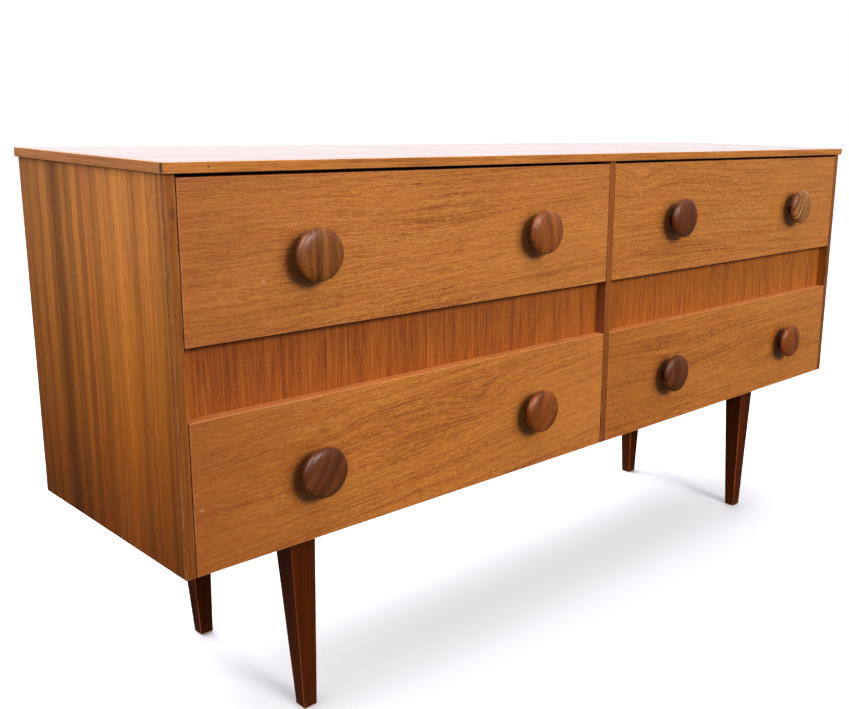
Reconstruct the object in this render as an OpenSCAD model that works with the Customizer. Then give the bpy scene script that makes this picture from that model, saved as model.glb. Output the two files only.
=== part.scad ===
// Long, low dresser: four drawers in two bays, turned wooden knobs and tapered legs.
// Millimetres. +Z is up, -Y is the drawer side, +X is to the right as seen from the front.
// The origin is on the floor, in the middle of the overall plan.

/* [Carcass] */
// Width over the two side panels
body_w = 1450; // [1250:5:1600]
// Depth of the side panels, front edge to back edge
body_d = 384; // [376:2:460]
// Height of the side panels
body_h = 450; // [420:2:520]
// Thickness of the side panels and of the middle divider
board_t = 12; // [12:0.5:18]
// Depth of the solid strip that lips a board's front edge
lip_d = 6; // [4:0.5:10]

/* [Top] */
// Thickness of the top
top_t = 11.5; // [10:0.5:20]
// How far the top stands out past the drawer fronts
top_front = 5; // [2:0.5:12]
// How far the top stands out past each side panel
top_side = 3.5; // [1:0.5:10]
// How far the top stands out past the back edge of the sides
top_back = 3; // [2:0.5:8]

/* [Drawers] */
// Height of a drawer front
front_h = 181; // [165:1:190]
// Thickness of a drawer front
front_t = 18; // [16:0.5:20]
// Gap between the top and an upper drawer front
under_top_gap = 4.5; // [3:0.5:6]
// Gap at each end of a drawer front
side_gap = 1.2; // [1:0.1:2]
// Height of a drawer box
box_h = 142; // [110:1:142]
// Length of a drawer box behind its front
box_d = 350; // [300:1:350]
// Thickness of a drawer side
box_side_t = 12; // [10:0.5:14]

/* [Knobs] */
// Diameter of a knob
knob_dia = 63.4; // [50:0.2:70]
// How far a knob stands out from its drawer front
knob_out = 28.8; // [24:0.2:34]
// Distance from the end of a drawer front to a knob's centre
knob_inset = 160.6; // [100:0.2:220]

/* [Legs] */
// Height of the carcass above the floor
leg_h = 272; // [180:1:320]
// Thickness of the bearers that join the legs to the carcass
bearer_t = 20; // [16:1:24]
// Width across a leg at its top
leg_top = 38.5; // [34:0.5:44]
// Width across a leg at the floor
leg_foot = 20; // [16:0.5:26]
// Distance from the end of the carcass to the outside of a leg
leg_in_x = 172; // [60:1:260]
// Distance from the drawer side of the carcass to the front legs
leg_in_front = 58; // [30:1:90]
// Distance from the back of the carcass to the back legs
leg_in_back = 12; // [8:1:60]

/* [Hidden] */

$fn = 48;

teak = [0.72, 0.44, 0.22];
teak_side = [0.62, 0.37, 0.17];
rail_red = [0.50, 0.26, 0.12];
walnut = [0.38, 0.23, 0.14];
leg_brown = [0.27, 0.13, 0.07];
beech = [0.80, 0.66, 0.46];
ply = [0.74, 0.60, 0.42];
hardboard = [0.45, 0.33, 0.22];
steel = [0.62, 0.62, 0.62];

// plan: y0 is the plane of the drawer fronts
total_d = knob_out + body_d + top_back;
y0 = -total_d / 2 + knob_out;
yb = y0 + body_d;
// levels
z_bot = leg_h;
z_top = leg_h + body_h;
// bays
bay_w = (body_w - 3 * board_t) / 2;
front_w = bay_w - 2 * side_gap;
bay_x = board_t / 2 + bay_w / 2;
// drawer levels
up_z = z_top - under_top_gap - front_h;
lo_z = z_bot;
bottom_t = 12;
back_t = 4;
rebate = 6;
rail_t = 12;
rail_gap = 0.6;
rail_lap = 10;
lo_box_z = z_bot + bottom_t + 4;
up_box_z = up_z + rail_lap + 4.5;
// drawer box details
groove = 5;
ply_t = 4;
ply_up = 8;
box_back_t = 10;
run_h = 15;
run_out = 7.2;
run_groove_h = 16;
run_groove_d = 7;
run_front = 40;
screw_r = 2;
screw_len = 32;

module slab(x1, x2, y1, y2, z1, z2) {
    translate([x1, y1, z1]) cube([x2 - x1, y2 - y1, z2 - z1]);
}

// ---------- top ----------
module top_panel() {
    color(teak)
    slab(-body_w / 2 - top_side + lip_d, body_w / 2 + top_side - lip_d,
         y0 - top_front + lip_d, yb + top_back, z_top, z_top + top_t);
}

module top_lipping_front() {
    color(teak)
    slab(-body_w / 2 - top_side, body_w / 2 + top_side,
         y0 - top_front, y0 - top_front + lip_d, z_top, z_top + top_t);
}

module top_lipping_side() {
    color(teak)
    slab(body_w / 2 + top_side - lip_d, body_w / 2 + top_side,
         y0 - top_front + lip_d, yb + top_back, z_top, z_top + top_t);
}
module top_lipping_right() { top_lipping_side(); }
module top_lipping_left() { mirror([1, 0, 0]) top_lipping_side(); }

// ---------- sides and divider ----------
module side_panel() {
    color(teak_side)
    difference() {
        slab(body_w / 2 - board_t, body_w / 2, y0 + lip_d, yb, z_bot, z_top);
        // rebate for the back panel
        slab(body_w / 2 - board_t - 1, body_w / 2 - board_t + rebate,
             yb - back_t, yb + 1, z_bot - 1, z_top + 1);
    }
}
module side_panel_right() { side_panel(); }
module side_panel_left() { mirror([1, 0, 0]) side_panel(); }

module side_lipping() {
    color(teak)
    slab(body_w / 2 - board_t, body_w / 2, y0, y0 + lip_d, z_bot, z_top);
}
module side_lipping_right() { side_lipping(); }
module side_lipping_left() { mirror([1, 0, 0]) side_lipping(); }

module centre_divider() {
    color(teak_side)
    difference() {
        slab(-board_t / 2, board_t / 2, y0 + lip_d, yb - back_t, z_bot + bottom_t, z_top);
        // notch for the front top rail
        slab(-board_t, board_t, y0 + front_t + 4, y0 + front_t + 44, z_top - 12, z_top + 1);
    }
}

// runs on down in front of the bottom panel, level with the drawer fronts
module divider_lipping() {
    color(teak)
    union() {
        slab(-board_t / 2, board_t / 2, y0, y0 + lip_d, z_bot, z_top);
        slab(-board_t / 2, board_t / 2, y0 + lip_d, y0 + front_t + 1, z_bot, z_bot + bottom_t);
    }
}

// ---------- rest of the carcass ----------
module bottom_panel() {
    color(ply)
    difference() {
        slab(-body_w / 2 + board_t, body_w / 2 - board_t, y0 + front_t + 1, yb - back_t,
             z_bot, z_bot + bottom_t);
        bearer_screw_places() translate([0, 0, z_bot - 1]) cylinder(r = 2.2, h = 10);
    }
}

module back_panel() {
    color(hardboard)
    difference() {
        slab(-body_w / 2 + board_t - rebate, body_w / 2 - board_t + rebate,
             yb - back_t, yb, z_bot, z_top);
        back_pin_places() rotate([90, 0, 0]) translate([0, 0, -1]) cylinder(r = 0.9, h = back_t + 2);
    }
}

module recessed_rail() {
    color(rail_red)
    slab(bay_x - bay_w / 2, bay_x + bay_w / 2,
         y0 + front_t + rail_gap, y0 + front_t + rail_gap + rail_t,
         lo_z + front_h - rail_lap, up_z + rail_lap);
}
module recessed_rail_right() { recessed_rail(); }
module recessed_rail_left() { mirror([1, 0, 0]) recessed_rail(); }

module front_top_rail() {
    color(ply)
    slab(-body_w / 2 + board_t, body_w / 2 - board_t,
         y0 + front_t + 4, y0 + front_t + 44, z_top - 12, z_top);
}

// a pair of battens, one on each wall of a bay
module runner_pair(zb) {
    zc = zb + box_h / 2;
    color(beech)
    for (s = [-1, 1])
        translate([bay_x + s * (bay_w / 2 - run_out / 2), 0, 0])
            slab(-run_out / 2, run_out / 2, y0 + run_front, yb - back_t - 8,
                 zc - run_h / 2, zc + run_h / 2);
}
module runners_upper_right() { runner_pair(up_box_z); }
module runners_upper_left() { mirror([1, 0, 0]) runner_pair(up_box_z); }
module runners_lower_right() { runner_pair(lo_box_z); }
module runners_lower_left() { mirror([1, 0, 0]) runner_pair(lo_box_z); }

// ---------- legs ----------
bearer_w = 50;
leg_cx = body_w / 2 - leg_in_x - leg_top / 2;
bearer_y1 = y0 + leg_in_front - 12;
bearer_y2 = yb - back_t - 1;
front_leg_y = y0 + leg_in_front + leg_top / 2;
back_leg_y = yb - leg_in_back - leg_top / 2;

module bearer_screw_places() {
    for (s = [-1, 1])
        for (y = [bearer_y1 + 70, (bearer_y1 + bearer_y2) / 2, bearer_y2 - 70])
            translate([s * leg_cx, y, 0]) children();
}

module leg_bearer() {
    color(leg_brown)
    difference() {
        slab(leg_cx - bearer_w / 2, leg_cx + bearer_w / 2, bearer_y1, bearer_y2,
             z_bot - bearer_t, z_bot);
        bearer_screw_places() {
            translate([0, 0, z_bot - bearer_t - 1]) cylinder(r = 2.2, h = bearer_t + 2);
            translate([0, 0, z_bot - bearer_t - 1]) cylinder(r = 4.6, h = 4.2);
        }
        for (y = [front_leg_y, back_leg_y])
            translate([leg_cx, y, z_bot - bearer_t - 1]) cylinder(r = 4, h = 19);
    }
}
module leg_bearer_right() { leg_bearer(); }
module leg_bearer_left() { mirror([1, 0, 0]) leg_bearer(); }

// a square leg that tapers on all four faces, most on the outer and rear ones
leg_len = leg_h - bearer_t;
foot_in = 7;
foot_fwd = 6;
module leg(y) {
    t = leg_top / 2;
    f = leg_foot / 2;
    color(leg_brown)
    difference() {
        intersection() {
            translate([leg_cx, y + 60, 0]) rotate([90, 0, 0]) linear_extrude(height = 120)
                polygon([[-foot_in - f, 0], [-foot_in + f, 0], [t, leg_len], [-t, leg_len]]);
            translate([leg_cx - 60, y, 0]) rotate([90, 0, 90]) linear_extrude(height = 120)
                polygon([[-foot_fwd - f, 0], [-foot_fwd + f, 0], [t, leg_len], [-t, leg_len]]);
        }
        translate([leg_cx, y, leg_len - 38]) cylinder(r = 4, h = 40);
    }
}
module leg_front_right() { leg(front_leg_y); }
module leg_front_left() { mirror([1, 0, 0]) leg(front_leg_y); }
module leg_back_right() { leg(back_leg_y); }
module leg_back_left() { mirror([1, 0, 0]) leg(back_leg_y); }

module leg_bolts() {
    color(steel)
    for (s = [-1, 1]) for (y = [front_leg_y, back_leg_y])
        translate([s * leg_cx, y, leg_len - 38]) cylinder(r = 4, h = 38 + 18);
}

module bearer_screws() {
    color(steel)
    bearer_screw_places() {
        translate([0, 0, z_bot - bearer_t + 0.4]) cylinder(r = 4.2, h = 2.4);
        translate([0, 0, z_bot - bearer_t + 2]) cylinder(r = 2.2, h = bearer_t - 2 + 8);
    }
}

// ---------- back panel pins ----------
module back_pin_places() {
    for (s = [-1, 1]) for (z = [z_bot + 60 : (body_h - 120) / 4 : z_top - 59])
        translate([s * (body_w / 2 - board_t + rebate / 2), yb, z]) children();
    for (z = [z_bot + 60 : (body_h - 120) / 4 : z_top - 59])
        translate([0, yb, z]) children();
    for (s = [-1, 1]) for (k = [0.2, 0.4, 0.6, 0.8])
        translate([s * k * bay_w, yb, z_bot + bottom_t / 2]) children();
}

module back_pins() {
    color(steel)
    back_pin_places() {
        rotate([90, 0, 0]) cylinder(r = 0.9, h = 14);
        rotate([-90, 0, 0]) cylinder(r = 2.2, h = 0.8);
    }
}

// ---------- drawers: a drawer is drawn round the middle of its bay ----------
module drawer_front(fz, bz) {
    color(teak)
    difference() {
        slab(-front_w / 2, front_w / 2, y0, y0 + front_t, fz, fz + front_h);
        // groove for the drawer bottom
        slab(-front_w / 2 + box_side_t - groove, front_w / 2 - box_side_t + groove,
             y0 + front_t - groove, y0 + front_t + 1, bz + ply_up, bz + ply_up + ply_t);
        // screw holes
        for (s = [-1, 1])
            translate([s * (front_w / 2 - knob_inset), y0 - 1, fz + front_h / 2])
                rotate([-90, 0, 0]) cylinder(r = 2.3, h = front_t + 2);
    }
}

module drawer_side(bz) {
    color(beech)
    difference() {
        slab(front_w / 2 - box_side_t, front_w / 2, y0 + front_t, y0 + front_t + box_d, bz, bz + box_h);
        // groove for the drawer bottom
        slab(front_w / 2 - box_side_t - 1, front_w / 2 - box_side_t + groove,
             y0 + front_t - 1, y0 + front_t + box_d + 1, bz + ply_up, bz + ply_up + ply_t);
        // groove that slides on the runner
        slab(front_w / 2 - run_groove_d, front_w / 2 + 1, y0 + run_front - 4, y0 + front_t + box_d + 1,
             bz + box_h / 2 - run_groove_h / 2, bz + box_h / 2 + run_groove_h / 2);
    }
}

module drawer_back(bz) {
    color(beech)
    slab(-front_w / 2 + box_side_t, front_w / 2 - box_side_t,
         y0 + front_t + box_d - box_back_t, y0 + front_t + box_d,
         bz + ply_up + ply_t, bz + box_h - 6);
}

module drawer_bottom(bz) {
    color(ply)
    slab(-front_w / 2 + box_side_t - groove + 0.5, front_w / 2 - box_side_t + groove - 0.5,
         y0 + front_t - groove + 0.5, y0 + front_t + box_d, bz + ply_up, bz + ply_up + ply_t);
}

// half profile of a turned knob: radius against height above the drawer front
knob_r = knob_dia / 2;
rim_h = knob_out * 0.70;
dome = knob_out - rim_h;
neck_r = 13.6;
function se(a, n) = pow(abs(a), 2 / n);
knob_profile = concat(
    [[0, 0], [15.6, 0], [15.4, 1.2], [14.6, 3.0], [13.9, 5.2], [neck_r, 7.4]],
    [for (i = [0 : 9]) let (t = 90 * i / 9)
        [neck_r + 0.6 + (knob_r - neck_r - 0.6) * se(sin(t), 2.1), rim_h - (rim_h - 10.4) * se(cos(t), 2.1)]],
    [for (i = [1 : 15]) let (t = 90 - 90 * i / 15)
        [knob_r * se(sin(t), 2.7), rim_h + dome * se(cos(t), 2.7)]]);

module knob(fz) {
    color(walnut)
    translate([0, y0, fz + front_h / 2]) rotate([90, 0, 0])
    difference() {
        rotate_extrude($fn = 96) polygon(knob_profile);
        translate([0, 0, -1]) cylinder(r = screw_r, h = screw_len - front_t + 1);
    }
}

module knob_screws(fz) {
    color(steel)
    for (s = [-1, 1])
        translate([s * (front_w / 2 - knob_inset), y0 + front_t, fz + front_h / 2]) rotate([90, 0, 0]) {
            cylinder(r = screw_r, h = screw_len - 0.5);
            translate([0, 0, -2.4]) cylinder(r = 4.2, h = 2.4);
        }
}

kx = front_w / 2 - knob_inset;

module upper_left_drawer_front() { translate([-bay_x, 0, 0]) drawer_front(up_z, up_box_z); }
module upper_left_drawer_side_l() { translate([-bay_x, 0, 0]) mirror([1, 0, 0]) drawer_side(up_box_z); }
module upper_left_drawer_side_r() { translate([-bay_x, 0, 0]) drawer_side(up_box_z); }
module upper_left_drawer_back() { translate([-bay_x, 0, 0]) drawer_back(up_box_z); }
module upper_left_drawer_bottom() { translate([-bay_x, 0, 0]) drawer_bottom(up_box_z); }
module upper_left_knob_l() { translate([-bay_x - kx, 0, 0]) knob(up_z); }
module upper_left_knob_r() { translate([-bay_x + kx, 0, 0]) knob(up_z); }
module upper_left_knob_screws() { translate([-bay_x, 0, 0]) knob_screws(up_z); }

module upper_right_drawer_front() { translate([bay_x, 0, 0]) drawer_front(up_z, up_box_z); }
module upper_right_drawer_side_l() { translate([bay_x, 0, 0]) mirror([1, 0, 0]) drawer_side(up_box_z); }
module upper_right_drawer_side_r() { translate([bay_x, 0, 0]) drawer_side(up_box_z); }
module upper_right_drawer_back() { translate([bay_x, 0, 0]) drawer_back(up_box_z); }
module upper_right_drawer_bottom() { translate([bay_x, 0, 0]) drawer_bottom(up_box_z); }
module upper_right_knob_l() { translate([bay_x - kx, 0, 0]) knob(up_z); }
module upper_right_knob_r() { translate([bay_x + kx, 0, 0]) knob(up_z); }
module upper_right_knob_screws() { translate([bay_x, 0, 0]) knob_screws(up_z); }

module lower_left_drawer_front() { translate([-bay_x, 0, 0]) drawer_front(lo_z, lo_box_z); }
module lower_left_drawer_side_l() { translate([-bay_x, 0, 0]) mirror([1, 0, 0]) drawer_side(lo_box_z); }
module lower_left_drawer_side_r() { translate([-bay_x, 0, 0]) drawer_side(lo_box_z); }
module lower_left_drawer_back() { translate([-bay_x, 0, 0]) drawer_back(lo_box_z); }
module lower_left_drawer_bottom() { translate([-bay_x, 0, 0]) drawer_bottom(lo_box_z); }
module lower_left_knob_l() { translate([-bay_x - kx, 0, 0]) knob(lo_z); }
module lower_left_knob_r() { translate([-bay_x + kx, 0, 0]) knob(lo_z); }
module lower_left_knob_screws() { translate([-bay_x, 0, 0]) knob_screws(lo_z); }

module lower_right_drawer_front() { translate([bay_x, 0, 0]) drawer_front(lo_z, lo_box_z); }
module lower_right_drawer_side_l() { translate([bay_x, 0, 0]) mirror([1, 0, 0]) drawer_side(lo_box_z); }
module lower_right_drawer_side_r() { translate([bay_x, 0, 0]) drawer_side(lo_box_z); }
module lower_right_drawer_back() { translate([bay_x, 0, 0]) drawer_back(lo_box_z); }
module lower_right_drawer_bottom() { translate([bay_x, 0, 0]) drawer_bottom(lo_box_z); }
module lower_right_knob_l() { translate([bay_x - kx, 0, 0]) knob(lo_z); }
module lower_right_knob_r() { translate([bay_x + kx, 0, 0]) knob(lo_z); }
module lower_right_knob_screws() { translate([bay_x, 0, 0]) knob_screws(lo_z); }

top_panel();
top_lipping_front();
top_lipping_left();
top_lipping_right();
side_panel_left();
side_panel_right();
side_lipping_left();
side_lipping_right();
centre_divider();
divider_lipping();
bottom_panel();
back_panel();
recessed_rail_left();
recessed_rail_right();
front_top_rail();
runners_upper_left();
runners_upper_right();
runners_lower_left();
runners_lower_right();
leg_bearer_left();
leg_bearer_right();
leg_front_left();
leg_front_right();
leg_back_left();
leg_back_right();
upper_left_drawer_front();
upper_left_drawer_side_l();
upper_left_drawer_side_r();
upper_left_drawer_back();
upper_left_drawer_bottom();
upper_left_knob_l();
upper_left_knob_r();
upper_left_knob_screws();
upper_right_drawer_front();
upper_right_drawer_side_l();
upper_right_drawer_side_r();
upper_right_drawer_back();
upper_right_drawer_bottom();
upper_right_knob_l();
upper_right_knob_r();
upper_right_knob_screws();
lower_left_drawer_front();
lower_left_drawer_side_l();
lower_left_drawer_side_r();
lower_left_drawer_back();
lower_left_drawer_bottom();
lower_left_knob_l();
lower_left_knob_r();
lower_left_knob_screws();
lower_right_drawer_front();
lower_right_drawer_side_l();
lower_right_drawer_side_r();
lower_right_drawer_back();
lower_right_drawer_bottom();
lower_right_knob_l();
lower_right_knob_r();
lower_right_knob_screws();
bearer_screws();
leg_bolts();
back_pins();
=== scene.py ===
import bpy, math
from mathutils import Matrix, Vector


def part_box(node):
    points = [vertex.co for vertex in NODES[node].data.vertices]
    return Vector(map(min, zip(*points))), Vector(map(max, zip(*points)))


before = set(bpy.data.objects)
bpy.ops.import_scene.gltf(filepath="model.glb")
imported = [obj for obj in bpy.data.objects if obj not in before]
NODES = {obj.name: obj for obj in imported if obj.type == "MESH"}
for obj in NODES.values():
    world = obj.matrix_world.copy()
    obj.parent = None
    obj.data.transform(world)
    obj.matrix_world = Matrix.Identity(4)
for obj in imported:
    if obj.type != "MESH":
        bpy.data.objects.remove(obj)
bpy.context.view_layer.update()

# ------------------------------------------------------------------ helpers


def rgb(r, g, b, k=1.0):
    """An 8 bit display colour as linear values."""

    def f(v):
        v = v / 255.0
        return v / 12.92 if v <= 0.04045 else ((v + 0.055) / 1.055) ** 2.4

    return (f(r) * k, f(g) * k, f(b) * k, 1.0)


class Mat:
    """A node material and the few node calls that the finishes below are built from."""

    def __init__(self, name):
        self.m = bpy.data.materials.new(name)
        self.m.use_nodes = True
        self.t = self.m.node_tree
        self.t.nodes.clear()
        self.out = self.t.nodes.new("ShaderNodeOutputMaterial")
        self.bsdf = self.t.nodes.new("ShaderNodeBsdfPrincipled")
        self.t.links.new(self.bsdf.outputs[0], self.out.inputs[0])
        tc = self.t.nodes.new("ShaderNodeTexCoord")
        self.P = tc.outputs["Object"]
        sep = self.t.nodes.new("ShaderNodeSeparateXYZ")
        self.t.links.new(self.P, sep.inputs[0])
        self.x, self.y, self.z = sep.outputs[0], sep.outputs[1], sep.outputs[2]

    def put(self, socket, v):
        if isinstance(v, bpy.types.NodeSocket):
            self.t.links.new(v, socket)
        elif v is not None:
            socket.default_value = v

    def math(self, op, a, b=None, c=None, clamp=False):
        n = self.t.nodes.new("ShaderNodeMath")
        n.operation = op
        n.use_clamp = clamp
        for s, v in zip(n.inputs, (a, b, c)):
            self.put(s, v)
        return n.outputs[0]

    def add(self, a, b):
        return self.math("ADD", a, b)

    def sub(self, a, b):
        return self.math("SUBTRACT", a, b)

    def mul(self, a, b):
        return self.math("MULTIPLY", a, b)

    def mad(self, a, b, c):
        return self.math("MULTIPLY_ADD", a, b, c)

    def comb(self, x, y, z):
        n = self.t.nodes.new("ShaderNodeCombineXYZ")
        for s, v in zip(n.inputs, (x, y, z)):
            self.put(s, v)
        return n.outputs[0]

    def noise(self, vec, scale=1.0, detail=2.0, rough=0.5, dist=0.0):
        n = self.t.nodes.new("ShaderNodeTexNoise")
        n.noise_dimensions = "3D"
        self.put(n.inputs["Vector"], vec)
        n.inputs["Scale"].default_value = scale
        n.inputs["Detail"].default_value = detail
        n.inputs["Roughness"].default_value = rough
        n.inputs["Distortion"].default_value = dist
        return n.outputs["Fac"]

    def voronoi(self, vec, scale=1.0, rand=1.0):
        n = self.t.nodes.new("ShaderNodeTexVoronoi")
        self.put(n.inputs["Vector"], vec)
        n.inputs["Scale"].default_value = scale
        n.inputs["Randomness"].default_value = rand
        return n.outputs["Distance"]

    def remap(self, v, a, b, c=0.0, d=1.0, smooth=False):
        n = self.t.nodes.new("ShaderNodeMapRange")
        n.interpolation_type = "SMOOTHSTEP" if smooth else "LINEAR"
        n.clamp = True
        for s, val in zip(n.inputs[:5], (v, a, b, c, d)):
            self.put(s, val)
        return n.outputs[0]

    def ramp(self, fac, stops, mode="LINEAR"):
        n = self.t.nodes.new("ShaderNodeValToRGB")
        n.color_ramp.interpolation = mode
        e = n.color_ramp.elements
        while len(e) < len(stops):
            e.new(0.5)
        for el, (p, _) in zip(e, stops):
            el.position = p
        for el, (p, c) in zip(e, stops):
            el.position = p
            el.color = c
        self.put(n.inputs[0], fac)
        return n.outputs[0]

    def mix(self, fac, a, b, blend="MIX"):
        n = self.t.nodes.new("ShaderNodeMix")
        n.data_type = "RGBA"
        n.blend_type = blend
        n.clamp_factor = True
        self.put(n.inputs[0], fac)
        self.put(n.inputs[6], a)
        self.put(n.inputs[7], b)
        return n.outputs[2]

    def spot(self, u, v, u0, v0, ru, rv):
        """1 in the middle of an oval spot, falling softly to 0 outside it."""
        du = self.mul(self.sub(u, u0), 1.0 / ru)
        dv = self.mul(self.sub(v, v0), 1.0 / rv)
        r2 = self.mad(du, du, self.mul(dv, dv))
        return self.math("POWER", 2.718, self.mul(r2, -1.0))

    def edge(self, lo, hi, r):
        """1 on the arrises of the box lo..hi, falling to 0 at r from them."""
        d = []
        for s, a, b in ((self.x, lo[0], hi[0]), (self.y, lo[1], hi[1]), (self.z, lo[2], hi[2])):
            d.append(self.math("MINIMUM", self.sub(s, a), self.sub(b, s)))
        top = self.math("MAXIMUM", d[0], self.math("MAXIMUM", d[1], d[2]))
        low = self.math("MINIMUM", d[0], self.math("MINIMUM", d[1], d[2]))
        mid = self.sub(self.sub(self.add(self.add(d[0], d[1]), d[2]), top), low)
        return self.remap(mid, 0.0, r, 1.0, 0.0, smooth=True)

    def finish(self, color, rough, height, bump=0.35, depth=0.0004, coat=0.0, coat_rough=0.2, spec=0.5, ior=1.5):
        self.put(self.bsdf.inputs["Base Color"], color)
        self.put(self.bsdf.inputs["Roughness"], rough)
        self.bsdf.inputs["IOR"].default_value = ior
        self.bsdf.inputs["Specular IOR Level"].default_value = spec
        self.put(self.bsdf.inputs["Coat Weight"], coat)
        self.bsdf.inputs["Coat Roughness"].default_value = coat_rough
        if height is not None:
            n = self.t.nodes.new("ShaderNodeBump")
            n.inputs["Strength"].default_value = bump
            n.inputs["Distance"].default_value = depth
            self.put(n.inputs["Height"], height)
            self.t.links.new(n.outputs[0], self.bsdf.inputs["Normal"])
        return self.m


def grain(m, along, across, deep, seed, warp=0.05, tilt=0.0, bumps=(), k=1.0, ka=1.0, fine=1.0):
    """Sawn-wood figure. Returns broad, medium, fine streaks and pores, each about 0 to 1."""
    lw = m.noise(m.comb(m.mad(along, 1.5 * ka, seed), m.mad(across, 3.0 * k, seed * 0.7), m.mul(deep, 3.0)), 1.0, 2.0, 0.5)
    mw = m.noise(m.comb(m.mad(along, 8.0 * ka, seed * 1.7), m.mul(across, 14.0 * k), m.mul(deep, 10.0)), 1.0, 2.0, 0.5)
    g = m.mad(m.sub(lw, 0.5), warp, across)
    g = m.mad(m.sub(mw, 0.5), warp * 0.12, g)
    if tilt:
        g = m.mad(along, tilt, g)
    for a0, c0, ra, rc, h in bumps:
        g = m.mad(m.spot(along, across, a0, c0, ra, rc), h, g)
    d = m.mul(deep, 1.0)
    broad = m.noise(m.comb(m.mad(along, 0.9 * ka, seed), m.mad(g, 26.0 * k, seed), m.mul(d, 20.0)), 1.0, 3.0, 0.55)
    medium = m.noise(m.comb(m.mad(along, 3.2 * ka, seed), m.mad(g, 120.0 * k, seed * 3), m.mul(d, 90.0)), 1.0, 3.0, 0.6)
    thin = m.noise(m.comb(m.mad(along, 8.0 * ka, seed), m.mad(g, 540.0 * fine, seed * 5), m.mul(d, 400.0)), 1.0, 2.0, 0.6)
    g2 = m.mad(m.sub(g, across), 0.35, across)
    pore = m.noise(m.comb(m.mad(along, 70.0, seed), m.mad(g2, 1000.0 * fine, seed), m.mul(d, 900.0)), 1.0, 1.0, 0.4)
    return {"g": g, "broad": broad, "medium": medium, "thin": thin, "pore": pore, "warp": lw}


# ------------------------------------------------------------------ finishes


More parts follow.
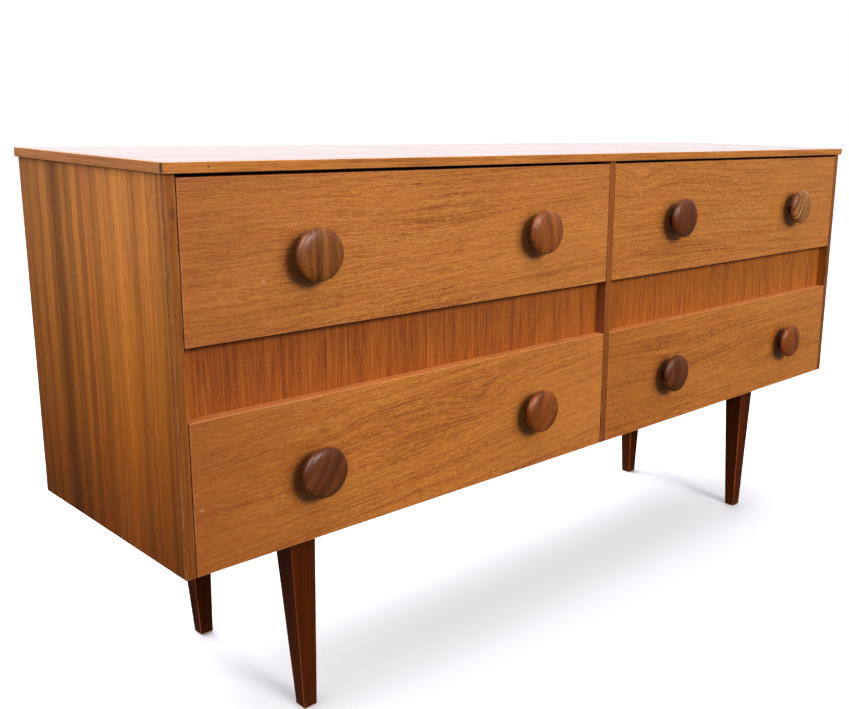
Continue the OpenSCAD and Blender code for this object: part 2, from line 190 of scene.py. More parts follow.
def teak_front(name, node, seed, bumps, tilt, warp, blemishes=(), left=0.34):
    """Teak veneer on a drawer front: grain along the width, eased and slightly worn arrises."""
    lo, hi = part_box(node)
    m = Mat(name)
    f = grain(m, m.x, m.z, m.y, seed, warp=warp, tilt=tilt, bumps=bumps)
    mid = m.noise(m.comb(m.mad(m.x, 5.0, seed + 7), m.mad(f["g"], 255.0, seed * 2), m.mul(m.y, 200.0)), 1.0, 3.0, 0.6)
    tone = m.add(m.add(m.mul(f["broad"], 0.26), m.mul(mid, 0.26)), m.add(m.mul(f["medium"], 0.24), m.mul(f["thin"], 0.24)))
    base = m.ramp(
        m.remap(tone, 0.408, 0.598),
        [
            (0.0, rgb(208, 135, 61)),
            (0.35, rgb(197, 121, 50)),
            (0.62, rgb(187, 110, 42)),
            (0.85, rgb(170, 95, 36)),
            (1.0, rgb(148, 79, 30)),
        ],
    )
    # longer, darker streaks that come and go along the growth lines
    patch = m.noise(m.comb(m.mad(m.x, 5.0, seed), m.mad(f["g"], 16.0, 3.1), 0.0), 1.0, 2.0, 0.5)
    streak = m.mul(
        m.remap(m.noise(m.comb(m.mad(m.x, 6.0, seed + 4), m.mad(f["g"], 420.0, seed), 0.0), 1.0, 2.0, 0.55), 0.55, 0.64),
        m.remap(patch, 0.40, 0.60),
    )
    base = m.mix(m.mul(streak, 0.62), base, rgb(112, 56, 24))
    # short pores, bold and fine, and paler flecks between them
    gp = m.mad(m.sub(f["g"], m.z), 0.45, m.z)
    bold = m.remap(m.noise(m.comb(m.mad(m.x, 40.0, seed), m.mad(gp, 860.0, seed), m.mul(m.y, 600.0)), 1.0, 1.0, 0.5), 0.52, 0.62)
    base = m.mix(m.mul(bold, 0.38), base, rgb(128, 62, 22))
    fleck = m.remap(m.noise(m.comb(m.mad(m.x, 110.0, seed + 9), m.mad(gp, 820.0, seed), m.mul(m.y, 600.0)), 1.0, 1.0, 0.5), 0.54, 0.64)
    base = m.mix(m.mul(fleck, 0.34), base, rgb(232, 160, 78))
    pores = m.remap(f["pore"], 0.57, 0.67)
    base = m.mix(m.mul(pores, 0.30), base, rgb(92, 46, 22))
    speck = m.noise(m.P, 640.0, 1.0, 0.5)
    base = m.mix(m.remap(speck, 0.50, 0.72, 0.0, 0.24), base, rgb(122, 62, 22))
    base = m.mix(m.remap(speck, 0.50, 0.28, 0.0, 0.26), base, rgb(232, 160, 80))
    if node.startswith("lower"):
        base = m.mix(1.0, base, (1.0, 0.97, 0.84, 1.0), "MULTIPLY")
    # the left of each front is a little redder, the right more golden
    side = m.remap(m.x, lo[0], hi[0], 0.0, 1.0)
    base = m.mix(m.remap(side, 0.0, 0.35, left, 0.0), base, rgb(150, 76, 30))
    base = m.mix(m.remap(side, 0.55, 1.0, 0.0, 0.22), base, rgb(210, 138, 66))
    h = m.sub(m.add(m.mul(f["thin"], 0.35), m.mul(f["medium"], 0.25)), m.mul(pores, 0.8))
    rough = m.remap(m.add(m.mul(f["thin"], 0.5), m.mul(f["broad"], 0.5)), 0.3, 0.7, 0.40, 0.52)
    # painted shadow: each front is darkened in a soft patch round each knob, set a little low and to the left, where
    # the knob's shadow falls
    for s in ("l", "r"):
        klo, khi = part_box(node.replace("drawer_front", "knob_" + s))
        knob_shadow = m.spot(m.x, m.z, (klo[0] + khi[0]) / 2 - 0.008, (klo[2] + khi[2]) / 2 - 0.009, 0.029, 0.031)
        knob_shadow = m.remap(knob_shadow, 0.08, 0.62, 0.0, 0.56, smooth=True)
        base = m.mix(knob_shadow, base, rgb(66, 32, 13))
    for x0, z0, rx, rz, c, a in blemishes:
        base = m.mix(m.mul(m.spot(m.x, m.z, x0, z0, rx, rz), a), base, rgb(*c))
    # painted highlight: the upward-facing top edge of each front is made paler, as it catches the light from above
    base = m.mix(m.remap(m.z, hi[2] - 0.0010, hi[2] - 0.0003, 0.0, 0.32), base, rgb(240, 150, 84))
    # arrises: handled smooth, lighter, with a few nicks
    e = m.edge(lo, hi, 0.0022)
    wear = m.noise(m.P, 42.0, 3.0, 0.6)
    base = m.mix(m.mul(e, m.remap(wear, 0.35, 0.7, 0.05, 0.5)), base, rgb(214, 146, 92))
    nick = m.mul(m.edge(lo, hi, 0.0016), m.remap(m.noise(m.P, 130.0, 2.0, 0.5), 0.68, 0.74))
    base = m.mix(m.mul(nick, 0.8), base, rgb(226, 178, 134))
    h = m.sub(h, m.mul(nick, 1.5))
    return m.finish(base, rough, h, bump=0.35, depth=0.0003, coat=0.05, coat_rough=0.28, spec=0.28)


def ribbon_side(name, node, seed, stops):
    """Ribbon-striped veneer, grain upright: soft dark bands at set distances from the front."""
    lo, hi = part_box(node)
    m = Mat(name)
    wob = m.noise(m.comb(m.mul(m.y, 5.0), m.mad(m.z, 2.2, seed), 0.0), 1.0, 2.0, 0.5)
    wob2 = m.noise(m.comb(m.mul(m.y, 20.0), m.mad(m.z, 9.0, seed), 0.0), 1.0, 2.0, 0.5)
    yy = m.mad(m.sub(wob, 0.5), 0.016, m.mad(m.sub(wob2, 0.5), 0.0035, m.y))
    u = m.remap(yy, lo[1], hi[1])
    base = m.ramp(u, stops, "EASE")
    # narrow ribbons
    rib = m.noise(m.comb(m.mul(m.x, 30.0), m.mad(yy, 105.0, seed), m.mad(m.z, 0.8, seed)), 1.0, 3.0, 0.6)
    base = m.mix(m.remap(rib, 0.48, 0.72, 0.0, 0.44), base, rgb(112, 62, 20))
    base = m.mix(m.remap(rib, 0.46, 0.26, 0.0, 0.36), base, rgb(222, 152, 70))
    # interlocked grain: cross mottle and fine upright fibres
    mott = m.noise(m.comb(m.mul(m.x, 30.0), m.mad(yy, 40.0, seed), m.mad(m.z, 30.0, seed)), 1.0, 3.0, 0.55)
    base = m.mix(m.remap(mott, 0.5, 0.75, 0.0, 0.14), base, rgb(136, 80, 32))
    fib = m.noise(m.comb(m.mul(m.x, 300.0), m.mul(m.y, 560.0), m.mad(m.z, 13.0, seed)), 1.0, 2.0, 0.6)
    base = m.mix(m.remap(fib, 0.5, 0.74, 0.0, 0.34), base, rgb(112, 62, 26))
    base = m.mix(m.remap(fib, 0.48, 0.28, 0.0, 0.22), base, rgb(226, 156, 80))
    pore = m.remap(m.noise(m.comb(m.mul(m.x, 300.0), m.mul(m.y, 900.0), m.mad(m.z, 70.0, seed)), 1.0, 1.0, 0.4), 0.58, 0.68)
    base = m.mix(m.mul(pore, 0.35), base, rgb(92, 50, 24))
    # darker and redder towards the floor: partly the veneer's own colour, partly painted shade, as less light reaches
    # the lower side
    deep = m.ramp(
        m.remap(m.z, 0.272, 0.722),
        [(0.0, (0.38, 0.26, 0.11, 1)), (0.27, (0.62, 0.46, 0.19, 1)), (0.60, (0.87, 0.76, 0.44, 1)), (0.85, (1.03, 0.99, 0.86, 1)), (1.0, (1.05, 1.03, 1.0, 1))],
    )
    base = m.mix(1.0, base, deep, "MULTIPLY")
    # greyer beside the front edging, with a dark seam where the two meet
    base = m.mix(m.remap(m.y, lo[1] + 0.014, lo[1] + 0.002, 0.0, 0.12, smooth=True), base, rgb(112, 70, 34))
    seam = m.remap(m.y, lo[1] + 0.0013, lo[1] + 0.0004, 0.0, 1.0)
    chip = m.remap(m.noise(m.P, 150.0, 2.0, 0.5), 0.40, 0.56, 0.25, 0.85)
    base = m.mix(m.mul(seam, chip), base, rgb(58, 34, 16))
    e = m.edge(lo, hi, 0.002)
    wear = m.noise(m.P, 40.0, 3.0, 0.6)
    base = m.mix(m.mul(m.mul(e, m.sub(1.0, seam)), m.remap(wear, 0.5, 0.75, 0.0, 0.3)), base, rgb(196, 138, 82))
    h = m.sub(m.add(m.mul(fib, 0.4), m.mul(rib, 0.2)), m.mul(pore, 0.7))
    rough = m.remap(m.add(m.mul(rib, 0.5), m.mul(mott, 0.5)), 0.3, 0.7, 0.42, 0.54)
    return m.finish(base, rough, h, bump=0.3, depth=0.0003, coat=0.0, coat_rough=0.25, spec=0.06)


def red_rail(name, node, seed, k0=1.0, k1=1.0):
    """Redder veneer of the recessed panels, fine upright grain with darker streaks."""
    lo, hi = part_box(node)
    m = Mat(name)
    wob = m.noise(m.comb(m.mad(m.x, 7.0, seed), m.mul(m.z, 5.0), 0.0), 1.0, 2.0, 0.5)
    xx = m.mad(m.sub(wob, 0.5), 0.014, m.x)
    broad = m.noise(m.comb(m.mad(xx, 22.0, seed), 0.0, m.mad(m.z, 1.5, seed)), 1.0, 3.0, 0.6)
    med = m.noise(m.comb(m.mad(xx, 150.0, seed), 0.0, m.mad(m.z, 5.0, seed)), 1.0, 3.0, 0.6)
    thin = m.noise(m.comb(m.mad(xx, 520.0, seed), m.mul(m.y, 300.0), m.mad(m.z, 17.0, seed)), 1.0, 2.0, 0.6)
    tone = m.add(m.mul(broad, 0.22), m.add(m.mul(med, 0.33), m.mul(thin, 0.45)))
    base = m.ramp(
        m.remap(tone, 0.34, 0.66),
        [
            (0.0, rgb(184, 106, 40)),
            (0.4, rgb(162, 86, 28)),
            (0.7, rgb(140, 69, 20)),
            (1.0, rgb(100, 45, 12)),
        ],
    )
    streak = m.remap(m.noise(m.comb(m.mad(xx, 260.0, seed), 0.0, m.mad(m.z, 3.0, seed)), 1.0, 2.0, 0.5), 0.6, 0.72)
    base = m.mix(m.mul(streak, 0.40), base, rgb(92, 42, 16))
    light = m.remap(m.noise(m.comb(m.mad(xx, 430.0, seed + 6), 0.0, m.mad(m.z, 9.0, seed)), 1.0, 2.0, 0.5), 0.54, 0.66)
    base = m.mix(m.mul(light, 0.34), base, rgb(214, 128, 54))
    speck = m.noise(m.P, 620.0, 1.0, 0.5)
    base = m.mix(m.remap(speck, 0.50, 0.72, 0.0, 0.18), base, rgb(96, 46, 18))
    base = m.mix(m.remap(speck, 0.50, 0.28, 0.0, 0.16), base, rgb(206, 128, 60))
    shift = m.ramp(m.remap(m.x, lo[0], hi[0]), [(0.0, (k0, k0 * (0.91 if k0 < 1.0 else 1.01), k0 * 0.70, 1)), (1.0, (k1, k1 * (1.03 if k0 < 1.0 else 1.15), k1 * 0.95, 1))])
    base = m.mix(1.0, base, shift, "MULTIPLY")
    pore = m.remap(m.noise(m.comb(m.mul(m.x, 1000.0), m.mul(m.y, 300.0), m.mad(m.z, 80.0, seed)), 1.0, 1.0, 0.4), 0.6, 0.72)
    base = m.mix(m.mul(pore, 0.3), base, rgb(84, 40, 20))
    h = m.sub(m.add(m.mul(thin, 0.4), m.mul(med, 0.2)), m.mul(pore, 0.7))
    rough = m.remap(med, 0.3, 0.7, 0.42, 0.54)
    return m.finish(base, rough, h, bump=0.3, depth=0.0003, coat=0.03, coat_rough=0.3, spec=0.25)


def teak_top(name, node, seed):
    lo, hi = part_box(node)
    m = Mat(name)
    f = grain(m, m.x, m.y, m.z, seed, warp=0.06, tilt=0.03, bumps=((-0.2, 0.02, 0.35, 0.06, 0.05), (0.38, 0.0, 0.3, 0.05, -0.045)))
    tone = m.add(m.mul(f["broad"], 0.45), m.add(m.mul(f["medium"], 0.35), m.mul(f["thin"], 0.2)))
    base = m.ramp(
        m.remap(tone, 0.33, 0.67),
        [
            (0.0, rgb(138, 87, 42)),
            (0.4, rgb(127, 76, 35)),
            (0.7, rgb(113, 64, 28)),
            (1.0, rgb(86, 45, 20)),
        ],
    )
    base = m.mix(m.remap(m.x, -0.72, -0.30), base, m.mix(1.0, base, (0.96, 0.93, 0.88, 1.0), "MULTIPLY"))
    pores = m.remap(f["pore"], 0.6, 0.72)
    base = m.mix(m.mul(pores, 0.3), base, rgb(84, 46, 24))
    base = m.mix(m.mul(m.remap(f["thin"], 0.6, 0.75), 0.3), base, rgb(104, 58, 30))
    h = m.sub(m.add(m.mul(f["thin"], 0.35), m.mul(f["medium"], 0.25)), m.mul(pores, 0.8))
    rough = m.remap(m.noise(m.P, 9.0, 3.0, 0.55), 0.3, 0.7, 0.30, 0.42)
    return m.finish(base, rough, h, bump=0.2, depth=0.0002, coat=0.9, coat_rough=0.20, spec=0.28)


def lipping(name, node, seed, axis, light, mid, dark, ends=None, knots=(), nicks=0.6):
    """Solid edging, grain along its length; dark end grain and a few knocks on the arrises."""
    lo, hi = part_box(node)
    m = Mat(name)
    al = {"x": m.x, "y": m.y, "z": m.z}[axis]
    if axis == "x":
        ac, dp = m.z, m.y
    elif axis == "y":
        ac, dp = m.z, m.x
    else:
        ac, dp = m.x, m.y
    both = m.add(ac, m.mul(dp, 0.8))
    med = m.noise(m.comb(m.mad(al, 6.0, seed), m.mad(both, 330.0, seed), m.mul(dp, 40.0)), 1.0, 3.0, 0.6)
    thin = m.noise(m.comb(m.mad(al, 28.0, seed), m.mad(both, 900.0, seed), m.mul(dp, 400.0)), 1.0, 2.0, 0.6)
    drift = m.noise(m.comb(m.mad(al, 4.0, seed * 2), 0.0, 0.0), 1.0, 3.0, 0.5)
    tone = m.add(m.mul(med, 0.42), m.add(m.mul(thin, 0.36), m.mul(drift, 0.22)))
    base = m.ramp(m.remap(tone, 0.35, 0.65), [(0.0, rgb(*light)), (0.5, rgb(*mid)), (1.0, rgb(*dark))])
    # the side edgings darken towards the floor like the side panels: partly their own colour, partly painted shade
    if axis == "z":
        base = m.mix(1.0, base, m.ramp(m.remap(m.z, 0.272, 0.722), [(0.0, (0.74, 0.66, 0.55, 1)), (1.0, (1.0, 1.0, 1.0, 1))]), "MULTIPLY")
    pore = m.remap(m.noise(m.comb(m.mad(al, 90.0, seed), m.mul(ac, 1100.0), m.mul(dp, 1100.0)), 1.0, 1.0, 0.4), 0.6, 0.7)
    base = m.mix(m.mul(pore, 0.35), base, rgb(dark[0] * 0.62, dark[1] * 0.6, dark[2] * 0.6))
    for p0, q0, rp, rq, c, a in knots:
        base = m.mix(m.mul(m.spot(al, ac, p0, q0, rp, rq), a), base, rgb(*c))
    if ends:
        i = "xyz".index(axis)
        s = (m.x, m.y, m.z)[i]
        end = m.math("MINIMUM", m.sub(s, lo[i]), m.sub(hi[i], s))
        eg = m.noise(m.P, 900.0, 2.0, 0.6)
        base = m.mix(m.mul(m.remap(end, 0.0007, 0.0002), m.remap(eg, 0.3, 0.7, 0.75, 1.0)), base, rgb(*ends))
    e = m.edge(lo, hi, 0.0018)
    wear = m.noise(m.P, 48.0, 3.0, 0.6)
    base = m.mix(m.mul(e, m.remap(wear, 0.42, 0.72, 0.0, 0.45)), base, rgb(208, 152, 104))
    nick = m.mul(m.edge(lo, hi, 0.0022), m.remap(m.noise(m.P, 110.0, 2.0, 0.5), 0.66, 0.72))
    base = m.mix(m.mul(nick, nicks), base, rgb(206, 156, 112))
    h = m.sub(m.sub(m.add(m.mul(thin, 0.4), m.mul(med, 0.2)), m.mul(pore, 0.6)), m.mul(nick, 1.6))
    rough = m.remap(med, 0.3, 0.7, 0.38, 0.52)
    return m.finish(base, rough, h, bump=0.35, depth=0.0003, coat=0.0, coat_rough=0.28, spec=0.16)


def knob(name, node, seed, light, mid, dark, angle, pith, contrast=1.0, stripe=90.0):
    """Turned walnut: growth rings cut across the dome, fine turning marks, soft gloss."""
    lo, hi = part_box(node)
    cx, cz, y0 = (lo[0] + hi[0]) / 2, (lo[2] + hi[2]) / 2, lo[1]
    m = Mat(name)
    qx, qz, qy = m.sub(m.x, cx), m.sub(m.z, cz), m.sub(m.y, y0)
    a = math.radians(angle)
    u = m.mad(qx, math.cos(a), m.mul(qz, math.sin(a)))
    v = m.mad(qx, -math.sin(a), m.mul(qz, math.cos(a)))
    w = m.noise(m.comb(m.mad(u, 30.0, seed), m.mul(v, 14.0), m.mul(qy, 20.0)), 1.0, 2.0, 0.5)
    uu = m.mad(m.sub(w, 0.5), 0.010, m.mad(m.mul(v, v), 1.6, u))
    du, dy = m.sub(uu, pith[0]), m.sub(qy, pith[1])
    r = m.math("SQRT", m.mad(du, du, m.mul(dy, dy)))
    ring = m.noise(m.comb(m.mad(r, stripe, seed), m.mul(v, 5.0), 0.0), 1.0, 3.0, 0.55)
    line = m.noise(m.comb(m.mad(r, stripe * 4.5, seed), m.mul(v, 10.0), 0.0), 1.0, 2.0, 0.55)
    fib = m.noise(m.comb(m.mad(u, 1400.0, seed), m.mul(v, 90.0), m.mul(qy, 1400.0)), 1.0, 2.0, 0.55)
    tone = m.add(m.mul(ring, 0.56), m.add(m.mul(line, 0.28), m.mul(fib, 0.16)))
    base = m.ramp(m.remap(tone, 0.5 - 0.17 / contrast, 0.5 + 0.17 / contrast), [(0.0, rgb(*light)), (0.5, rgb(*mid)), (1.0, rgb(*dark))])
    thin = m.remap(m.noise(m.comb(m.mad(r, stripe * 9.0, seed), m.mul(v, 16.0), 0.0), 1.0, 2.0, 0.5), 0.58, 0.70)
    base = m.mix(m.mul(thin, 0.45), base, rgb(dark[0] * 0.6, dark[1] * 0.55, dark[2] * 0.55))
    pore = m.remap(m.noise(m.comb(m.mad(u, 1500.0, seed), m.mul(v, 170.0), m.mul(qy, 1200.0)), 1.0, 1.0, 0.4), 0.6, 0.7)
    base = m.mix(m.mul(pore, 0.4), base, rgb(dark[0] * 0.5, dark[1] * 0.45, dark[2] * 0.45))
    # turning marks round the axis, and small scratches from use
    rad = m.math("SQRT", m.mad(qx, qx, m.mul(qz, qz)))
    turn = m.noise(m.comb(m.mul(rad, 900.0), m.mul(qy, 700.0), 0.0), 1.0, 1.0, 0.5)
    scr = m.remap(m.noise(m.comb(m.mul(qx, 160.0), m.mul(qz, 420.0), m.mul(qy, 200.0)), 1.0, 2.0, 0.5), 0.74, 0.78)
    base = m.mix(m.mul(scr, 0.5), base, rgb(176, 140, 112))
    # painted shade: the knob's neck and the back of its head, which face the drawer front, are made near black to stand
    # in for the shadow there; the same mask also makes them rougher and takes their coat away
    shaded_neck = m.remap(qy, 0.011, 0.016)
    base = m.mix(m.mul(shaded_neck, 0.85), base, rgb(22, 11, 7))
    h = m.sub(m.add(m.mul(turn, 0.15), m.mul(fib, 0.2)), m.add(m.mul(pore, 0.5), m.mul(scr, 0.6)))
    rough = m.add(m.remap(m.add(m.mul(turn, 0.4), m.mul(fib, 0.6)), 0.3, 0.7, 0.34, 0.46), m.mul(shaded_neck, 0.3))
    return m.finish(base, rough, h, bump=0.25, depth=0.0002, coat=m.mul(m.sub(1.0, shaded_neck), 0.55), coat_rough=0.33, spec=0.08)


def stained_leg(name, node, seed, k=1.0):
    """Dark red-brown stain over close-grained wood; the arrises carry a paler second finish, partly rubbed stain and
    partly a painted highlight.
    """
    lo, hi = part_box(node)
    m = Mat(name)
    med = m.noise(m.comb(m.mad(m.x, 130.0, seed), m.mul(m.y, 130.0), m.mad(m.z, 2.5, seed)), 1.0, 3.0, 0.6)
    thin = m.noise(m.comb(m.mad(m.x, 620.0, seed), m.mul(m.y, 620.0), m.mad(m.z, 18.0, seed)), 1.0, 2.0, 0.6)
    tone = m.add(m.mul(med, 0.6), m.mul(thin, 0.4))
    base = m.ramp(m.remap(tone, 0.32, 0.68), [(0.0, rgb(96, 42, 12, k)), (0.5, rgb(83, 35, 9, k)), (1.0, rgb(66, 26, 6, k))])
    pore = m.remap(m.noise(m.comb(m.mul(m.x, 1100.0), m.mul(m.y, 1100.0), m.mad(m.z, 90.0, seed)), 1.0, 1.0, 0.4), 0.6, 0.7)
    base = m.mix(m.mul(pore, 0.25), base, rgb(44, 19, 8))
    foot = m.remap(m.z, 0.02, 0.0, 0.0, 1.0)
    base = m.mix(m.mul(foot, m.remap(m.noise(m.P, 160.0, 3.0, 0.6), 0.45, 0.7, 0.0, 0.5)), base, rgb(128, 84, 56))
    h = m.sub(m.add(m.mul(thin, 0.4), m.mul(med, 0.2)), m.mul(pore, 0.6))
    rough = m.remap(med, 0.3, 0.7, 0.34, 0.46)
    base = m.mix(m.remap(m.z, 0.16, 0.0, 0.0, 0.5), base, m.mix(1.0, base, (0.60, 0.72, 0.85, 1.0), "MULTIPLY"))
    return m.finish(base, rough, h, bump=0.3, depth=0.0003, coat=0.0, coat_rough=0.22, spec=0.05)


def arris_wear_and_highlight(name):
    """The legs' arrises: the stain rubbed thin, with a painted highlight where the edge catches the light."""
    m = Mat(name)
    wear = m.noise(m.comb(m.mul(m.x, 30.0), m.mul(m.y, 30.0), m.mul(m.z, 14.0)), 1.0, 3.0, 0.6)
    fine = m.noise(m.P, 500.0, 2.0, 0.5)
    base = m.ramp(m.remap(m.add(m.mul(wear, 0.7), m.mul(fine, 0.3)), 0.38, 0.62), [(0.0, rgb(122, 54, 18)), (0.5, rgb(152, 72, 26)), (1.0, rgb(178, 92, 38))])
    return m.finish(base, m.remap(wear, 0.3, 0.7, 0.36, 0.48), fine, bump=0.2, depth=0.0002, spec=0.15)


def plain_wood(name, axis, seed, light, mid, dark, rough0=0.55, scale=1.0):
    """Bare planed wood for the inside: drawer sides, runners and bearers."""
    m = Mat(name)
    al, ac, dp = {"x": (m.x, m.z, m.y), "y": (m.y, m.z, m.x), "z": (m.z, m.x, m.y)}[axis]
    f = grain(m, al, ac, dp, seed, warp=0.04, k=1.6 * scale)
    tone = m.add(m.mul(f["broad"], 0.4), m.add(m.mul(f["medium"], 0.35), m.mul(f["thin"], 0.25)))
    base = m.ramp(m.remap(tone, 0.33, 0.67), [(0.0, rgb(*light)), (0.5, rgb(*mid)), (1.0, rgb(*dark))])
    fleck = m.remap(m.noise(m.comb(m.mul(al, 160.0), m.mul(ac, 620.0), m.mul(dp, 620.0)), 1.0, 1.0, 0.4), 0.62, 0.72)
    base = m.mix(m.mul(fleck, 0.35), base, rgb(dark[0] * 0.8, dark[1] * 0.76, dark[2] * 0.72))
    dust = m.noise(m.P, 7.0, 4.0, 0.6)
    base = m.mix(m.remap(dust, 0.5, 0.8, 0.0, 0.25), base, rgb(dark[0] * 0.85, dark[1] * 0.85, dark[2] * 0.85))
    h = m.sub(m.add(m.mul(f["thin"], 0.5), m.mul(f["medium"], 0.3)), m.mul(fleck, 0.3))
    rough = m.remap(f["medium"], 0.3, 0.7, rough0 - 0.05, rough0 + 0.1)
    return m.finish(base, rough, h, bump=0.4, depth=0.0003, spec=0.35)


def plywood(name, seed):
    """Rotary-cut birch face with a three-ply edge."""
    m = Mat(name)
    w = m.noise(m.comb(m.mad(m.x, 4.0, seed), m.mul(m.y, 2.2), 0.0), 1.0, 3.0, 0.5)
    g = m.mad(m.sub(w, 0.5), 0.16, m.x)
    b = m.noise(m.comb(m.mad(g, 22.0, seed), m.mul(m.y, 2.0), 0.0), 1.0, 3.0, 0.55)
    f = m.noise(m.comb(m.mul(m.x, 420.0), m.mul(m.y, 24.0), m.mul(m.z, 900.0)), 1.0, 2.0, 0.6)
    base = m.ramp(m.remap(m.add(m.mul(b, 0.6), m.mul(f, 0.4)), 0.35, 0.65), [(0.0, rgb(228, 200, 160)), (0.5, rgb(214, 182, 138)), (1.0, rgb(188, 150, 106))])
    stain = m.noise(m.P, 5.0, 4.0, 0.6)
    base = m.mix(m.remap(stain, 0.55, 0.8, 0.0, 0.3), base, rgb(160, 122, 84))
    rough = m.remap(f, 0.3, 0.7, 0.55, 0.7)
    return m.finish(base, rough, f, bump=0.3, depth=0.0002, spec=0.3)


def hardboard(name):
    """Brown pressed fibre board with its faint screen pattern."""
    m = Mat(name)
    big = m.noise(m.P, 4.0, 3.0, 0.5)
    fib = m.noise(m.P, 420.0, 3.0, 0.65, 0.6)
    base = m.ramp(m.remap(m.add(m.mul(big, 0.25), m.mul(fib, 0.75)), 0.30, 0.70), [(0.0, rgb(158, 118, 80)), (0.5, rgb(132, 94, 60)), (1.0, rgb(100, 68, 42))])
    sx = m.math("SINE", m.mul(m.x, 2 * math.pi / 0.0016))
    sz = m.math("SINE", m.mul(m.z, 2 * math.pi / 0.0016))
    screen = m.mul(sx, sz)
    h = m.add(m.mul(fib, 0.6), m.mul(screen, 0.25))
    rough = m.remap(fib, 0.3, 0.7, 0.6, 0.78)
    return m.finish(base, rough, h, bump=0.5, depth=0.0003, spec=0.3)


def steel(name):
    m = Mat(name)
    n = m.noise(m.P, 700.0, 3.0, 0.6)
    b = m.noise(m.P, 90.0, 3.0, 0.6)
    base = m.ramp(m.remap(m.add(m.mul(n, 0.5), m.mul(b, 0.5)), 0.3, 0.7), [(0.0, rgb(176, 174, 168)), (1.0, rgb(120, 114, 104))])
    m.bsdf.inputs["Metallic"].default_value = 1.0
    rough = m.remap(n, 0.3, 0.7, 0.3, 0.5)
    return m.finish(base, rough, n, bump=0.3, depth=0.0001)


# ------------------------------------------------------------------ edges

# Boards keep their CAD size; only their long arrises are eased, so the light catches them.
_groups = {}


def arris_group():
    if "arris" in _groups:
        return _groups["arris"]
    g = bpy.data.node_groups.new("mark_arrises", "GeometryNodeTree")
    g.interface.new_socket("Geometry", in_out="INPUT", socket_type="NodeSocketGeometry")
    g.interface.new_socket("Geometry", in_out="OUTPUT", socket_type="NodeSocketGeometry")
    n = g.nodes
    gi, go = n.new("NodeGroupInput"), n.new("NodeGroupOutput")
    ang = n.new("GeometryNodeInputMeshEdgeAngle")
    ev = n.new("GeometryNodeInputMeshEdgeVertices")
    dist = n.new("ShaderNodeVectorMath")
    dist.operation = "DISTANCE"
    g.links.new(ev.outputs["Position 1"], dist.inputs[0])
    g.links.new(ev.outputs["Position 2"], dist.inputs[1])
    c1 = n.new("ShaderNodeMath")
    c1.operation = "GREATER_THAN"
    g.links.new(ang.outputs["Unsigned Angle"], c1.inputs[0])
    c1.inputs[1].default_value = math.radians(40)
    c2 = n.new("ShaderNodeMath")
    c2.operation = "GREATER_THAN"
    g.links.new(dist.outputs["Value"], c2.inputs[0])
    c2.inputs[1].default_value = 0.0025
    c3 = n.new("ShaderNodeMath")
    c3.operation = "MULTIPLY"
    g.links.new(c1.outputs[0], c3.inputs[0])
    g.links.new(c2.outputs[0], c3.inputs[1])
    st = n.new("GeometryNodeStoreNamedAttribute")
    st.data_type = "FLOAT"
    st.domain = "EDGE"
    st.inputs["Name"].default_value = "bevel_weight_edge"
    g.links.new(gi.outputs[0], st.inputs["Geometry"])
    g.links.new(c3.outputs[0], st.inputs["Value"])
    g.links.new(st.outputs[0], go.inputs[0])
    _groups["arris"] = g
    return g


def smooth_group():
    if "smooth" in _groups:
        return _groups["smooth"]
    g = bpy.data.node_groups.new("shade_smooth", "GeometryNodeTree")
    g.interface.new_socket("Geometry", in_out="INPUT", socket_type="NodeSocketGeometry")
    g.interface.new_socket("Geometry", in_out="OUTPUT", socket_type="NodeSocketGeometry")
    gi, go = g.nodes.new("NodeGroupInput"), g.nodes.new("NodeGroupOutput")
    s = g.nodes.new("GeometryNodeSetShadeSmooth")
    ang = g.nodes.new("GeometryNodeInputMeshEdgeAngle")
    big = g.nodes.new("FunctionNodeCompare")
    big.data_type = "FLOAT"
    big.operation = "GREATER_THAN"
    g.links.new(ang.outputs["Unsigned Angle"], big.inputs[0])
    big.inputs[1].default_value = math.radians(38)
    e = g.nodes.new("GeometryNodeSetShadeSmooth")
    e.domain = "EDGE"
    e.inputs["Shade Smooth"].default_value = False
    g.links.new(gi.outputs[0], s.inputs["Geometry"])
    g.links.new(s.outputs[0], e.inputs["Geometry"])
    g.links.new(big.outputs[0], e.inputs["Selection"])
    g.links.new(e.outputs[0], go.inputs[0])
    _groups["smooth"] = g
    return g


def ease(node, width, segments=3, slot=-1):
    o = NODES[node]
    w = o.modifiers.new("weld", "WELD")
    w.merge_threshold = 0.00001
    a = o.modifiers.new("arrises", "NODES")
    a.node_group = arris_group()
    b = o.modifiers.new("ease", "BEVEL")
    b.width = width
    b.segments = segments
    b.limit_method = "WEIGHT"
    b.use_clamp_overlap = True
    b.miter_outer = "MITER_SHARP"
    b.material = slot
    s = o.modifiers.new("smooth", "NODES")
    s.node_group = smooth_group()
    n = o.modifiers.new("normals", "WEIGHTED_NORMAL")
    n.mode = "FACE_AREA"
    n.weight = 100
    n.keep_sharp = True


def paint(material, *names):
    for n in names:
        me = NODES[n].data
        if me.materials:
            for i in range(len(me.materials)):
                me.materials[i] = material
        else:
            me.materials.append(material)


# ------------------------------------------------------------------ give every node its finish

DRAWERS = ("upper_left", "upper_right", "lower_left", "lower_right")

